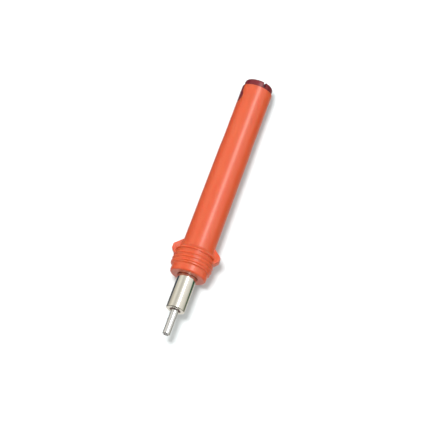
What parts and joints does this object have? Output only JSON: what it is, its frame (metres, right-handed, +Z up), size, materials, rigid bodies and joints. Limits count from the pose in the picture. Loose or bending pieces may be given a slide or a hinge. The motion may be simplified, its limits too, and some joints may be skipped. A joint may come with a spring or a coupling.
{
  "type": "technical pen nib",
  "caption": "Screw-in drawing point of a technical pen: moulded body with threaded collar, stepped metal tip, slotted end plug and a sliding drop weight with cleaning wire.",
  "frame": {"origin": "on the axis, in the plane of the collar's front face", "axes": "+X along the axis from the tip towards the end plug, +Z up as the part lies, with one lug 2 degrees below +Y"},
  "size_m": [0.0389, 0.0068, 0.0058],
  "materials": {
    "orange_moulding": "satin, injection moulded",
    "red_moulding": "satin, injection moulded",
    "nickel_plate": "bright nickel plate",
    "brown_moulding": "matte",
    "polished_steel": "polished",
    "wire_steel": "drawn",
    "crimp_brass": "turned",
    "weight_steel": "turned"
  },
  "bodies": {
    "nib": {"nib_body": "orange_moulding", "end_plug": "red_moulding", "tip_sleeve": "nickel_plate", "tube_bush": "brown_moulding", "drawing_tube": "polished_steel"},
    "weight": {"drop_weight": "weight_steel", "wire_holder": "crimp_brass", "cleaning_wire": "wire_steel"}
  },
  "joints": [
    {"name": "weight_slide", "type": "slide", "parent": "nib", "child": "weight", "axis": [1, 0, 0], "range_m": [0, 0.005]}
  ]
}
